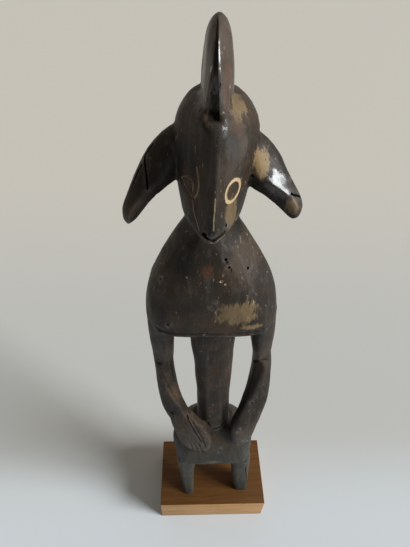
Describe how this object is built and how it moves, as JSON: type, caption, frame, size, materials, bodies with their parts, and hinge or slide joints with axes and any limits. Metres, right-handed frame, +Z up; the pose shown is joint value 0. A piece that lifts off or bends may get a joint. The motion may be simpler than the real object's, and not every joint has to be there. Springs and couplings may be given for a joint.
{
  "type": "mumuye figure",
  "caption": "Standing carved wooden figure with a tall crest, drooping side lappets, a faceted chest and long free arms, on a plain rectangular wooden plinth.",
  "frame": {"origin": "middle of the plinth's underside", "axes": "+Z up, the figure faces -Y, +X is to the right as seen from the front"},
  "size_m": [0.1403, 0.086, 0.6013],
  "materials": {
    "patinated_wood": "dark semi-gloss patina, worn to ochre on edges",
    "plinth_wood": "satin varnish"
  },
  "bodies": {
    "root": {"carved_figure": "patinated_wood", "plinth": "plinth_wood"}
  },
  "joints": []
}
